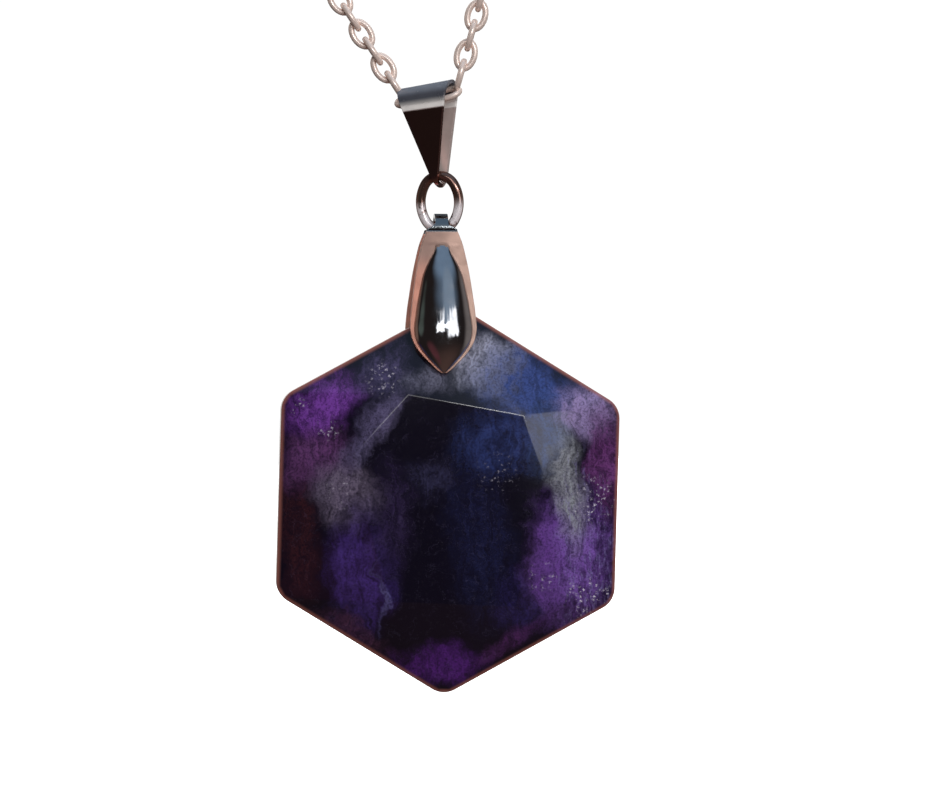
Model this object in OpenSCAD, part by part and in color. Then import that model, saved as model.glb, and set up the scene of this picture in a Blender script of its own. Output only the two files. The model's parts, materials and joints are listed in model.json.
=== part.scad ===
/* [Chain] */
// Thickness of the chain, which is made as a plain tube
chain_d = 1.5; // [1.3:0.05:1.6]
// Radius of the round of the chain loop behind the neck
loop_r = 53.8; // [48:0.1:60]
// Angle of the left strand from plumb
left_lean = 31; // [28:0.1:33]
// Angle of the right strand from plumb
right_lean = 16.5; // [11:0.1:17]
// Radius of the two bends where the strands leave the bail
bend_r = 1.3; // [1.2:0.1:1.5]

/* [Clasp] */
// Half of the stretch that the clasp takes between the two ends of the chain
clasp_half = 7.8; // [6.5:0.1:9]
// Diameter of the clasp barrel
clasp_d = 4; // [3.6:0.1:4.6]
// Length of the clasp barrel with its round ends
clasp_l = 10; // [8:0.1:11]
// Diameter of the wire of the clasp's two eyes
eye_wire = 0.58; // [0.5:0.02:0.7]
// Centreline radius of the clasp's two eyes
eye_r = 0.76; // [0.7:0.02:0.9]

/* [Bail] */
// Distance between the centres of the bail's two folds
bail_h = 6.8; // [6.5:0.02:7.5]
// Inner radius of the fold that rides on the chain
bail_top_r = 1.25; // [1.25:0.01:1.4]
// Inner radius of the fold that holds the ring
bail_foot_r = 0.85; // [0.84:0.01:0.9]
// Thickness of the bail's strip
bail_t = 0.36; // [0.3:0.01:0.4]
// Half of the strip's width at the foot fold's centre
bail_foot_half = 0.4; // [0.35:0.01:0.4]
// Half of the strip's width at its top
bail_top_half = 2.64; // [2.3:0.01:2.66]
// Turn of the bail about plumb
bail_turn = -24; // [-26:1:-20]
// Lean of the bail's top to the left
bail_lean = -6.4; // [-8:0.1:-6]

/* [Ring] */
// Wire diameter of the jump ring
ring_wire = 0.92; // [0.85:0.01:0.93]
// Half of the ring's width at its wire's centre
ring_half = 1.76; // [1.75:0.01:1.9]
// Angle at which the ring's end arcs meet its side arcs
ring_join = 60; // [60:1:65]
// Height of the ring between its two centreline ends
ring_h = 4.88; // [4.8:0.01:5.2]
// Turn of the ring about plumb
ring_turn = -7; // [-8:1:-6]

/* [Cap] */
// Thickness of the cap's sheet
cap_t = 0.36; // [0.3:0.01:0.38]
// Inner radius of the fold over the ring
cap_fold_r = 1.15; // [1.15:0.01:1.2]
// Depth from the middle to the leaf's inner face at its tip
cap_tip_depth = 2.98; // [2.95:0.01:3.1]
// Lean of the cap's lower end to the left
cap_lean = 1.5; // [0:0.1:2]
// Height of the pins' axis below the ring's foot
pin_drop = 11.2; // [11:0.1:11.4]
// Radius of the two pins
pin_r = 0.45; // [0.4:0.01:0.5]

/* [Stone] */
// Width of the hexagon across its flats
stone_w = 31.1; // [30.6:0.1:31.6]
// Thickness from table to table
stone_t = 7; // [6.8:0.1:7]
// Thickness of the girdle
girdle_t = 2.2; // [2:0.1:2.4]
// Radius of the girdle's corners
corner_r = 2.1; // [1.5:0.1:2.4]
// Height of the stone's centre below the ring's foot
stone_drop = 24.8; // [24.7:0.1:25.2]
// Lean of the stone's top to the right
stone_lean = 3.2; // [2:0.1:4]
// Turn of cap and stone about plumb
drop_turn = 6; // [4:1:8]
// Radius of the hole drilled for the pins
hole_r = 0.6; // [0.56:0.01:0.7]

/* [Hidden] */

// Chain: a half has rings of sides round its bend and along its long stretch
run_reach = 3.15;
joint_gap = 0.1;
nudge = 0.001;
chain_sides = 8;
bend_rings = 4;
long_rings = 35;
fine = 16;

// Ring: steps along each of its four arcs, and sides of its wire
arc_steps = 12;
wire_sides = 24;

// Fits of ring and folds
seat_gap = 0.3;
fold_drop = 0.1;
fold_half = 0.6;
leaf_neck = 0.3;
wide_to = -0.1;
narrow_from = 0.35;
pin_end = 1;
through = 20;

// Leaf of the cap, a row for each level below the ring's foot:
// [level, half width of the leaf, half width of its dome, height of the dome]
LEAF = [
    [0.2, 1.4, 0.5, 0],
    [1.4, 1.85, 0.6, 0],
    [2.2, 2.05, 0.75, 0.25],
    [2.9, 2.2, 1.15, 0.5],
    [3.8, 2.38, 1.6, 0.75],
    [5.9, 2.7, 2.15, 1.05],
    [7.9, 2.95, 2.5, 1.25],
    [9.5, 3, 2.65, 1.3],
    [10.5, 2.72, 2.42, 1.15],
    [11.5, 2.05, 1.78, 0.9],
    [12.4, 1.2, 0.98, 0.55],
    [12.95, 0.62, 0.42, 0.25],
    [13.25, 0.2, 0.1, 0.05],
];
dome_power = 0.6;
dome_steps = 10;

// Corners of the stone's table, which was cut by hand: [angle, distance from the centre]
TABLE = [[16, 8.8], [51, 10.1], [114, 10.4], [158, 9.9], [240, 10.8], [303, 11.4]];
corner_steps = 4;

function unit(v) = v / norm(v);
function reverse(list) = [for (k = [len(list) - 1 : -1 : 0]) list[k]];
function level(a, b, t) = a + (b - a) * t;
function turn_z(v, a) = [v.x * cos(a) - v.y * sin(a), v.x * sin(a) + v.y * cos(a), v.z];
function lean_y(v, a) = [v.x * cos(a) + v.z * sin(a), v.y, v.z * cos(a) - v.x * sin(a)];
function in_bail(v) = lean_y(turn_z(v, bail_turn), bail_lean);

// Ring's foot is at [0, 0, 0] while the parts are laid out, and the clasp's middle is the origin
foot = [0, 0, ring_h - ring_wire / 2 - seat_gap + bail_foot_r];
run_mid = foot + in_bail([0, 0, bail_h + bail_top_r - chain_d / 2 - joint_gap]);
run_dir = in_bail([1, 0, 0]);
run_flat = in_bail([0, 1, 0]);
corner_left = run_mid - run_reach * run_dir;
corner_right = run_mid + run_reach * run_dir;

// Loop: a circle that both strands touch
in_left = [cos(left_lean), 0, sin(left_lean)];
in_right = [-cos(right_lean), 0, sin(right_lean)];
sum_left = loop_r + [corner_left.x, 0, corner_left.z] * in_left;
sum_right = loop_r + [corner_right.x, 0, corner_right.z] * in_right;
loop_c = [
    sum_left * sin(right_lean) - sum_right * sin(left_lean),
    0,
    sum_left * cos(right_lean) + sum_right * cos(left_lean),
] / sin(left_lean + right_lean);

// One side of the chain: [corner, direction away from the bail, touch point, angle there, angle's way round]
LEFT = [corner_left, -run_dir, loop_c - loop_r * in_left, 180 + left_lean, -1];
RIGHT = [corner_right, run_dir, loop_c - loop_r * in_right, -right_lean, 1];

function strand_dir(side) = unit(side[2] - side[0]);
function bend(side) = acos(side[1] * strand_dir(side));
function bend_back(side) = bend_r * tan(bend(side) / 2);
function bend_len(side) = bend_r * bend(side) * PI / 180;
function run_len(side) = norm(side[0] - run_mid) - bend_back(side);
function strand_len(side) = norm(side[2] - side[0]) - bend_back(side);
function round_start(side) = run_len(side) + bend_len(side) + strand_len(side);
function top_at(side) = round_start(side) + loop_r * abs(90 - side[3]) * PI / 180;

function on_bend(side, a) =
    let (start = side[0] - bend_back(side) * side[1])
    let (inward = unit(strand_dir(side) - cos(bend(side)) * side[1]))
    start + bend_r * (sin(a) * side[1] + (1 - cos(a)) * inward);

function on_round(side, s) =
    let (a = side[3] + side[4] * s / loop_r * 180 / PI)
    loop_c + loop_r * [cos(a), 0, sin(a)];

// Point of the chain's centreline at distance s from the middle of the run, along one side
function along(side, s) =
    let (a = s - run_len(side))
    let (b = a - bend_len(side))
    let (c = b - strand_len(side))
    a < 0 ? run_mid + s * side[1]
    : b < 0 ? on_bend(side, a / bend_r * 180 / PI)
    : c < 0 ? side[0] + (bend_back(side) + b) * strand_dir(side)
    : on_round(side, c);

// Places of a half chain's rings, as distances from the middle of the run
function ring_places(side) =
    let (bent = run_len(side) + bend_len(side))
    let (end = top_at(side) - clasp_half)
    concat(
        [joint_gap / 2],
        [for (k = [0 : bend_rings]) level(run_len(side), bent, k / bend_rings)],
        [for (k = [1 : long_rings]) level(bent, end, k / long_rings)]
    );

function chain_ring(side, s) =
    let (z = unit(along(side, s + nudge) - along(side, s - nudge)))
    let (y = unit([0, 1, 0] - z.y * z))
    let (x = cross(y, z))
    [
        for (k = [0 : chain_sides - 1])
            let (a = 360 * k / chain_sides)
            along(side, s) + chain_d / 2 * (cos(a) * x + sin(a) * y)
    ];

clasp_a = along(LEFT, top_at(LEFT) - clasp_half);
clasp_b = along(RIGHT, top_at(RIGHT) - clasp_half);
origin = (clasp_a + clasp_b) / 2;

// Turns a piece whose length is on Z and whose flat side faces Y so that they follow the two directions
module aim(long, flat) {
    z = unit(long);
    y = unit(flat - (flat * z) * z);
    x = cross(y, z);
    multmatrix([[x.x, y.x, z.x, 0], [x.y, y.y, z.y, 0], [x.z, y.z, z.z, 0], [0, 0, 0, 1]])
        children();
}

// Arc of round wire in the XZ plane, which starts at an angle from X towards Z
module wire_arc(r, start, sweep, wire, sides) {
    rotate([90, 0, 0])
        rotate([0, 0, start])
            rotate_extrude(angle = sweep, $fn = 2 * sides)
                translate([r, 0])
                    circle(d = wire, $fn = sides);
}

// Arcs of an oval in the XZ plane that meet at an angle from the middle of each end:
// [centre, radius, middle angle, half of the sweep]
function oval_arcs(half_w, half_h, join) =
    let (spread = (half_h - half_w) / (sin(join) + cos(join) - 1))
    let (end_r = half_h - spread * cos(join))
    let (side_r = half_w + spread * sin(join))
    [
        [[half_w - side_r, 0, 0], side_r, 0, 90 - join],
        [[0, 0, half_h - end_r], end_r, 90, join],
        [[side_r - half_w, 0, 0], side_r, 180, 90 - join],
        [[0, 0, end_r - half_h], end_r, 270, join],
    ];

// Closed ring of round wire swept along those arcs
module oval_ring(arcs, wire) {
    sections = [
        for (arc = arcs, k = [0 : arc_steps - 1])
            let (a = arc[2] + arc[3] * (2 * k / arc_steps - 1))
            let (out = [cos(a), 0, sin(a)])
            [
                for (j = [0 : wire_sides - 1])
                    let (b = 360 * j / wire_sides)
                    arc[0] + arc[1] * out + wire / 2 * (cos(b) * out + sin(b) * [0, 1, 0])
            ]
    ];
    count = len(sections);
    polyhedron(
        points = [for (section = sections) each section],
        faces = [
            for (i = [0 : count - 1], j = [0 : wire_sides - 1])
                let (near = i * wire_sides, far = (i + 1) % count * wire_sides, next = (j + 1) % wire_sides)
                each [[near + j, far + j, far + next], [near + j, far + next, near + next]]
        ]
    );
}

module chain(side) {
    rings = [for (s = ring_places(side)) chain_ring(side, s)];
    n = chain_sides;
    last = len(rings) - 1;
    color("#d8c8c4")
        translate(-origin)
            polyhedron(
                points = [for (ring = rings) each ring],
                faces = concat(
                    [[for (k = [0 : n - 1]) k]],
                    [
                        for (i = [0 : last - 1], k = [0 : n - 1])
                            let (a = i * n + k, b = i * n + (k + 1) % n)
                            each [[a, a + n, b + n], [a, b + n, b]]
                    ],
                    [[for (k = [n - 1 : -1 : 0]) last * n + k]]
                )
            );
}

module clasp_eye() {
    low = (clasp_l - clasp_d) / 2;
    high = norm(clasp_b - clasp_a) / 2 - joint_gap - eye_wire / 2 - eye_r;
    translate([0, 0, high])
        wire_arc(eye_r, 0, 180, eye_wire, fine);
    for (x = [-eye_r, eye_r])
        translate([x, 0, low])
            cylinder(h = high - low, d = eye_wire, $fn = fine);
}

module clasp() {
    barrel = clasp_l - clasp_d;
    color("#d8d0ce")
        aim(clasp_b - clasp_a, [0, 1, 0]) {
            cylinder(h = barrel, d = clasp_d, center = true, $fn = 2 * fine);
            for (z = [-barrel / 2, barrel / 2])
                translate([0, 0, z])
                    sphere(d = clasp_d, $fn = 2 * fine);
            for (back = [0, 180])
                rotate([back, 0, 0])
                    clasp_eye();
        }
}

// Outline of a belt round two circles, the second one above the first
module belt(low_r, high_r, rise) {
    s = (high_r - low_r) / rise;
    c = sqrt(1 - s * s);
    circle(r = low_r, $fn = 3 * fine);
    translate([0, rise])
        circle(r = high_r, $fn = 3 * fine);
    polygon([
        [low_r * c, -low_r * s],
        [high_r * c, rise - high_r * s],
        [-high_r * c, rise - high_r * s],
        [-low_r * c, -low_r * s],
    ]);
}

module bail() {
    low = -bail_foot_r - bail_t;
    high = bail_h + bail_top_r + bail_t;
    slope = (bail_top_half - bail_foot_half) / high;
    low_half = bail_foot_half + slope * low;
    color("#6b6f78")
        translate(foot - origin)
            rotate([0, bail_lean, 0])
                rotate([0, 0, bail_turn])
                    intersection() {
                        rotate([90, 0, 90])
                            linear_extrude(through, center = true)
                                difference() {
                                    belt(bail_foot_r + bail_t, bail_top_r + bail_t, bail_h);
                                    belt(bail_foot_r, bail_top_r, bail_h);
                                }
                        rotate([90, 0, 0])
                            linear_extrude(through, center = true)
                                polygon([
                                    [-low_half, low],
                                    [low_half, low],
                                    [bail_top_half, high],
                                    [-bail_top_half, high],
                                ]);
                    }
}

module jump_ring() {
    color("#8a7f7c")
        translate([0, 0, ring_h / 2] - origin)
            rotate([0, 0, ring_turn])
                oval_ring(oval_arcs(ring_half, ring_h / 2, ring_join), ring_wire);
}

// Height of the leaf's dome over its flat rim at share u of the half width
function dome(u, high) = high * pow(max(0, 1 - u * u), dome_power);

// Depth of the leaf's inner face at a level below the ring's foot
function leaf_depth(drop) =
    level(cap_fold_r, cap_tip_depth, max(0, drop - fold_drop) / (LEAF[len(LEAF) - 1][0] - fold_drop));

// Section of one leaf across its width, from its left rim to its right one, offset by t from the inner face
function leaf_row(row, t) =
    let (base = leaf_depth(row[0]) + t)
    [
        [-row[1], -base, -row[0]],
        for (k = [0 : dome_steps])
            let (u = 2 * k / dome_steps - 1)
            [u * row[2], -base - dome(u, row[3]), -row[0]],
        [row[1], -base, -row[0]],
    ];

module leaf() {
    n = dome_steps + 3;
    loops = [for (row = LEAF) concat(leaf_row(row, cap_t), reverse(leaf_row(row, 0)))];
    m = 2 * n;
    last = len(loops) - 1;
    polyhedron(
        points = [for (loop = loops) each loop],
        faces = concat(
            [for (k = [0 : n - 2]) [m - 1 - k, m - 2 - k, k + 1, k]],
            [
                for (i = [0 : last - 1], k = [0 : m - 1])
                    let (a = i * m + k, b = i * m + (k + 1) % m)
                    each [[a, b + m, a + m], [a, b, b + m]]
            ],
            [for (k = [0 : n - 2]) [for (j = [k, k + 1, m - 2 - k, m - 1 - k]) last * m + j]]
        )
    );
}

module cap_fold() {
    neck_half = LEAF[0][1];
    fold_edge = [
        [neck_half, -fold_drop - leaf_neck],
        [neck_half, wide_to],
        [fold_half, narrow_from],
        [fold_half, cap_fold_r + cap_t],
    ];
    intersection() {
        translate([0, 0, -fold_drop])
            difference() {
                union() {
                    rotate([0, 90, 0])
                        cylinder(r = cap_fold_r + cap_t, h = through, center = true, $fn = 3 * fine);
                    translate([0, 0, -leaf_neck / 2])
                        cube([through, 2 * (cap_fold_r + cap_t), leaf_neck], center = true);
                }
                rotate([0, 90, 0])
                    cylinder(r = cap_fold_r, h = 2 * through, center = true, $fn = 3 * fine);
                translate([0, 0, -through / 2])
                    cube([2 * through, 2 * cap_fold_r, through], center = true);
            }
        rotate([90, 0, 0])
            linear_extrude(through, center = true)
                polygon([
                    for (side = [-1, 1], p = side < 0 ? fold_edge : reverse(fold_edge))
                        [side * p.x, p.y]
                ]);
    }
}

module pin() {
    reach = leaf_depth(pin_drop) + lookup(pin_drop, [for (row = LEAF) [row[0], row[3]]]) + cap_t / 2;
    translate([0, -pin_end, -pin_drop])
        rotate([90, 0, 0])
            cylinder(r = pin_r, h = reach - pin_end, $fn = 2 * fine);
}

module cap() {
    color("#7c8794")
        translate(-origin)
            rotate([0, cap_lean, drop_turn]) {
                cap_fold();
                for (back = [0, 180])
                    rotate([0, 0, back]) {
                        leaf();
                        pin();
                    }
            }
}

function girdle_points() =
    let (middle = (stone_w / 2 - corner_r) / cos(30))
    [
        for (corner = [0 : 5], k = [0 : corner_steps])
            let (a = 30 + 60 * corner)
            let (b = a - 30 + 60 * k / corner_steps)
            middle * [cos(a), sin(a)] + corner_r * [cos(b), sin(b)]
    ];

module upright_plate(points, thick) {
    rotate([90, 0, 0])
        linear_extrude(thick, center = true)
            polygon(points);
}

module stone() {
    color("#3b2458")
        translate(-origin)
            rotate([0, 0, drop_turn])
                difference() {
                    translate([0, 0, -stone_drop])
                        rotate([0, stone_lean, 0])
                            hull() {
                                upright_plate(girdle_points(), girdle_t);
                                upright_plate([for (c = TABLE) c[1] * [cos(c[0]), sin(c[0])]], stone_t);
                            }
                    rotate([0, cap_lean, 0])
                        translate([0, 0, -pin_drop])
                            rotate([90, 0, 0])
                                cylinder(r = hole_r, h = through, center = true, $fn = 2 * fine);
                }
}

chain(LEFT);  // chain_left
chain(RIGHT);  // chain_right
clasp();
bail();
jump_ring();
cap();
stone();
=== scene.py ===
"""Crystal pendant on its chain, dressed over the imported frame, in metres."""
import json
import math

import bmesh
import bpy
import numpy as np
from mathutils import Matrix, Vector

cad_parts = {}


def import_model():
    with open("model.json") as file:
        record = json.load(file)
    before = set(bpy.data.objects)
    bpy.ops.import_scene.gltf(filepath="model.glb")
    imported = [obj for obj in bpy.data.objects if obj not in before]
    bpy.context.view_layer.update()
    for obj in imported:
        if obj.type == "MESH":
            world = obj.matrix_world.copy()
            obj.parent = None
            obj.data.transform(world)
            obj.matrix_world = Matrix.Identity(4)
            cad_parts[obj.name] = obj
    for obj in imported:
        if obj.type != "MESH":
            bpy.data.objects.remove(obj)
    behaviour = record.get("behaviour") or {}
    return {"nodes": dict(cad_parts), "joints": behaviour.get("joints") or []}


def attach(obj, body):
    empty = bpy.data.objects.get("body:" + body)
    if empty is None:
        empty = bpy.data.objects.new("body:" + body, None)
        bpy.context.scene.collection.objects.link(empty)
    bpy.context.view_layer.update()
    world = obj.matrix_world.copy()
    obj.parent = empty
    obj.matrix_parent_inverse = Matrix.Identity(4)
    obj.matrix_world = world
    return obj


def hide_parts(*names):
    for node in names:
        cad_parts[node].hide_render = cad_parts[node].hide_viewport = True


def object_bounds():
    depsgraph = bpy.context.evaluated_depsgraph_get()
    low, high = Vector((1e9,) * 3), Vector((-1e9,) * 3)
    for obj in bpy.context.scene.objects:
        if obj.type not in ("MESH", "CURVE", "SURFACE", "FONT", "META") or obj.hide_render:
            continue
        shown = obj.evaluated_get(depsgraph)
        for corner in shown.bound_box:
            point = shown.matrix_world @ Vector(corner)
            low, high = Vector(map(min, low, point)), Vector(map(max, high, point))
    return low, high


MM = 0.001
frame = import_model()
cad_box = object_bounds()
joints = {j["name"]: j for j in frame["joints"]}

# Places that the frame gives: the run of chain in the bail, and the hinges of ring and drop
RUN_MID = np.array(joints["bail_swing"]["pos_m"])
RUN_DIR = np.array(joints["bail_swing"]["axis"])
RING_TOP = np.array(joints["ring_swing"]["pos_m"])
RING_FOOT = np.array(joints["drop_swing"]["pos_m"])

# Chain: a loop of oval links round a circle behind the neck
LINK_HALF_W = 0.8 * MM
LINK_HALF_L = 1.28 * MM
LINK_WIRE = 0.57 * MM
LINK_PITCH = 1.87 * MM
LINK_STEPS = 24
LINK_SIDES = 12
RUN_LINKS = 3
RUN_TILT = math.radians(35)
# Shift of the corners between the run in the bail and the left strand, -1, and the right one, 1
RUN_LIFT = {-1: np.array([0.15, 0, 0.5]) * MM, 1: np.array([0.1, 0, 0.35]) * MM}
LOOP_R = 53.8 * MM
LOOP_DROP = 53.24 * MM
CLASP_HALF = 7.8 * MM
EYE_WIRE = 0.58 * MM
JOINT_GAP = 0.1 * MM

# Jump ring
RING_WIRE = 0.92 * MM
RING_HALF_W = 1.76 * MM
RING_JOIN = math.radians(60)
RING_ARC_STEPS = 24
RING_SIDES = 32
RING_TURN = math.radians(-7)

# Cap and stone
DROP_TURN = math.radians(6)
CAP_T = 0.36 * MM
CAP_FOLD_R = 1.15 * MM
CAP_TIP_DEPTH = 2.98 * MM
CAP_LEAN = math.radians(1.5)
# Drop of the fold's centre under the ring's foot, half width at its top and straight length down to the leaf
FOLD_DROP = 0.1 * MM
FOLD_HALF = 0.6 * MM
LEAF_NECK = 0.3 * MM
# Heights over the ring's foot up to which the folded strip is wide, and from which it is narrow
WIDE_TO = -0.1 * MM
NARROW_FROM = 0.35 * MM
# Drop of the pins under the ring's foot, their radius and the depth from the middle at which each ends
PIN_DROP = 11.2 * MM
PIN_R = 0.45 * MM
PIN_END = 1 * MM
HOLE_R = 0.6 * MM
HOLE_SIDES = 32
# Sides of the stone's outline and degrees between its corners
HEX_SIDES = 6
HEX_TURN = 360 / HEX_SIDES
STONE_W = 31.1 * MM
STONE_T = 7 * MM
GIRDLE_T = 2.2 * MM
CORNER_R = 2.1 * MM
STONE_DROP = 24.8 * MM
STONE_LEAN = math.radians(3.2)
# Width and steps of the soft edges between facets, and the angle from which an edge is softened
FACET_SOFT = 0.22 * MM
FACET_STEPS = 3
FACET_FROM = math.radians(6)
# Angles under which faces are one plane, and over which an edge stays sharp
ONE_PLANE = math.radians(0.5)
SHARP_ON_CAP = math.radians(22)
SHARP_ON_STONE = math.radians(40)

# Rows down the cap's leaf in mm: level below the ring's foot, leaf half width, dome half width, dome height
LEAF = [
    (0.2, 1.4, 0.5, 0),
    (1.4, 1.85, 0.6, 0),
    (2.2, 2.05, 0.75, 0.25),
    (2.9, 2.2, 1.15, 0.5),
    (3.8, 2.38, 1.6, 0.75),
    (5.9, 2.7, 2.15, 1.05),
    (7.9, 2.95, 2.5, 1.25),
    (9.5, 3, 2.65, 1.3),
    (10.5, 2.72, 2.42, 1.15),
    (11.5, 2.05, 1.78, 0.9),
    (12.4, 1.2, 0.98, 0.55),
    (12.95, 0.62, 0.42, 0.25),
    (13.25, 0.2, 0.1, 0.05),
]
# Power that rounds the dome's section, and the rise over the flats from which the leaf counts as dome
DOME_POWER = 0.6
DOME_EDGE = 0.06 * MM

# Corners of the stone's table, which was cut by hand: angle in degrees, distance from the centre in mm
TABLE = [(16, 8.8), (51, 10.1), (114, 10.4), (158, 9.9), (240, 10.8), (303, 11.4)]


def unit(v):
    return v / np.linalg.norm(v)


def new_piece(name, verts, faces, body, replaced):
    """Mesh piece of that name which rides on a body in place of CAD nodes."""
    mesh = bpy.data.meshes.new(name)
    mesh.from_pydata([tuple(v) for v in verts], [], [tuple(f) for f in faces])
    mesh.validate()
    mesh.update()
    piece = bpy.data.objects.new(name, mesh)
    bpy.context.scene.collection.objects.link(piece)
    mesh.polygons.foreach_set("use_smooth", [True] * len(mesh.polygons))
    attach(piece, body)
    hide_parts(*replaced)
    return piece


# Swept wire

def ellipse(half_w, half_l, steps):
    """Points and outward normals of an ellipse in the XZ plane."""
    a = 2 * math.pi * np.arange(steps) / steps
    level = np.zeros(steps)
    points = np.stack([half_w * np.cos(a), level, half_l * np.sin(a)], 1)
    normals = np.stack([half_l * np.cos(a), level, half_w * np.sin(a)], 1)
    return points, normals / np.linalg.norm(normals, axis=1)[:, None]


def four_arcs(half_w, half_l, join, steps):
    """Points and outward normals of an oval whose arcs meet at an angle from the middle of each end."""
    spread = (half_l - half_w) / (math.sin(join) + math.cos(join) - 1)
    end_r = half_l - spread * math.cos(join)
    side_r = half_w + spread * math.sin(join)
    quarter = math.pi / 2
    arcs = [
        ((half_w - side_r, 0, 0), side_r, 0, quarter - join),
        ((0, 0, half_l - end_r), end_r, quarter, join),
        ((side_r - half_w, 0, 0), side_r, 2 * quarter, quarter - join),
        ((0, 0, end_r - half_l), end_r, 3 * quarter, join),
    ]
    points, normals = [], []
    for centre, r, middle, half in arcs:
        for a in middle + half * (2 * np.arange(steps) / steps - 1):
            normals.append(np.array([math.cos(a), 0, math.sin(a)]))
            points.append(centre + r * normals[-1])
    return np.array(points), np.array(normals)


def wire_ring(points, normals, wire, sides):
    """Vertices and faces of round wire along a closed line in the XZ plane."""
    steps = len(points)
    a = 2 * math.pi * np.arange(sides) / sides
    across = np.cos(a)[None, :, None] * normals[:, None, :]
    flat = np.sin(a)[None, :, None] * np.array([0, 1, 0])
    verts = (points[:, None, :] + wire / 2 * (across + flat)).reshape(-1, 3)
    faces = []
    for i in range(steps):
        j = (i + 1) % steps
        for k in range(sides):
            m = (k + 1) % sides
            faces.append((i * sides + k, i * sides + m, j * sides + m, j * sides + k))
    return verts, np.array(faces)


# Route of the chain

def strand_route(side, steps=240):
    """Points of a strand's centreline from the run in the bail to the nape, side 1 right, -1 left."""
    corner = RUN_MID + side * RUN_LINKS / 2 * LINK_PITCH * RUN_DIR + RUN_LIFT[side]
    centre = np.array([0, 0, -LOOP_DROP])
    across, up = corner[0] - centre[0], corner[2] - centre[2]
    start = math.atan2(up, across) + side * math.acos(LOOP_R / math.hypot(across, up))
    end = math.pi / 2 if side > 0 else -3 * math.pi / 2
    turns = np.linspace(start, end, steps)
    round_part = centre + LOOP_R * np.stack([np.cos(turns), np.zeros(steps), np.sin(turns)], 1)
    return np.vstack([corner, round_part])


def route_reader(points):
    """Function that gives the point at a distance along a route, and the route's length."""
    lengths = np.concatenate([[0], np.cumsum(np.linalg.norm(np.diff(points, axis=0), axis=1))])

    def at(s):
        return np.array([np.interp(s, lengths, points[:, k]) for k in range(3)])

    return at, lengths[-1]


def placed_link(ring, a, b, turn):
    """A link whose length runs from a to b, turned about it from lying flat to the front."""
    z = unit(b - a)
    y = unit(np.array([0, 1, 0]) - z[1] * z)
    x = np.cross(y, z)
    c, s = math.cos(turn), math.sin(turn)
    return ring @ np.array([c * x + s * y, c * y - s * x, z]) + (a + b) / 2


def chain_half(side, name, node):
    """One half of the chain as interlocked links, which are edge-on and flat to the front by turns."""
    ring, ring_faces = wire_ring(*ellipse(LINK_HALF_W, LINK_HALF_L, LINK_STEPS), LINK_WIRE, LINK_SIDES)
    links = []
    for k in range(RUN_LINKS):
        s = (k - RUN_LINKS / 2) * LINK_PITCH
        # The left half has the run's links left of its middle, and the right half has the rest
        if (k < RUN_LINKS / 2 - 0.5) == (side < 0):
            ends = RUN_MID + s * RUN_DIR, RUN_MID + (s + LINK_PITCH) * RUN_DIR
            links.append(placed_link(ring, *ends, math.pi / 2 + RUN_TILT * (-1) ** k))
    at, length = route_reader(strand_route(side))
    hook = length - CLASP_HALF + 2 * JOINT_GAP + EYE_WIRE + LINK_WIRE / 2 - 2 * LINK_HALF_L
    pairs = round(hook / LINK_PITCH / 2)
    pitch = hook / pairs / 2
    s = 0.0
    for i in range(2 * pairs + 1):
        edge_on = i % 2 == 0
        span = 2 * LINK_HALF_L if edge_on else 2 * pitch - 2 * LINK_HALF_L
        links.append(placed_link(ring, at(s), at(s + span), math.pi / 2 if edge_on else 0))
        s += span
    faces = [ring_faces + i * len(ring) for i in range(len(links))]
    return new_piece(name, np.vstack(links), np.vstack(faces), "loop", [node])


def jump_ring():
    half = np.linalg.norm(RING_TOP - RING_FOOT) / 2
    oval = four_arcs(RING_HALF_W, half, RING_JOIN, RING_ARC_STEPS)
    verts, faces = wire_ring(*oval, RING_WIRE, RING_SIDES)
    turn = np.array(Matrix.Rotation(RING_TURN, 3, "Z"))
    verts = verts @ turn.T + (RING_TOP + RING_FOOT) / 2
    return new_piece("ring_wire", verts, faces, "ring", ["jump_ring"])


# Cap

def leaf_rows(steps=6):
    """Rows of the leaf with smooth ones put in between them."""
    table = np.array(LEAF)
    levels = np.concatenate([
        np.linspace(table[i, 0], table[i + 1, 0], steps, endpoint=False) for i in range(len(table) - 1)
    ] + [[table[-1, 0]]])
    slopes = np.gradient(table[:, 1:], table[:, 0], axis=0)
    rows = []
    for v in levels:
        i = min(np.searchsorted(table[:, 0], v, side="right") - 1, len(table) - 2)
        h = table[i + 1, 0] - table[i, 0]
        t = (v - table[i, 0]) / h
        values = (
            (2 * t**3 - 3 * t**2 + 1) * table[i, 1:] + (t**3 - 2 * t**2 + t) * h * slopes[i]
            + (3 * t**2 - 2 * t**3) * table[i + 1, 1:] + (t**3 - t**2) * h * slopes[i + 1]
        )
        rows.append((v * MM, *np.maximum(values, 0) * MM))
    return rows


def leaf_depth(drop):
    """Depth of the leaf's inner face at a level below the ring's foot."""
    t = max(0, drop - FOLD_DROP) / (LEAF[-1][0] * MM - FOLD_DROP)
    return CAP_FOLD_R + (CAP_TIP_DEPTH - CAP_FOLD_R) * t


def leaf_section(row, offset, steps=28):
    """Section of a leaf across its width: a domed middle between flat rims."""
    drop, half, dome_half, high = row
    base = leaf_depth(drop) + offset
    points = [(-half, -base, -drop)]
    for k in range(steps + 1):
        u = -math.cos(math.pi * k / steps)
        rise = high * max(0, 1 - u * u) ** DOME_POWER
        points.append((u * dome_half, -base - rise, -drop))
    points.append((half, -base, -drop))
    return points


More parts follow.
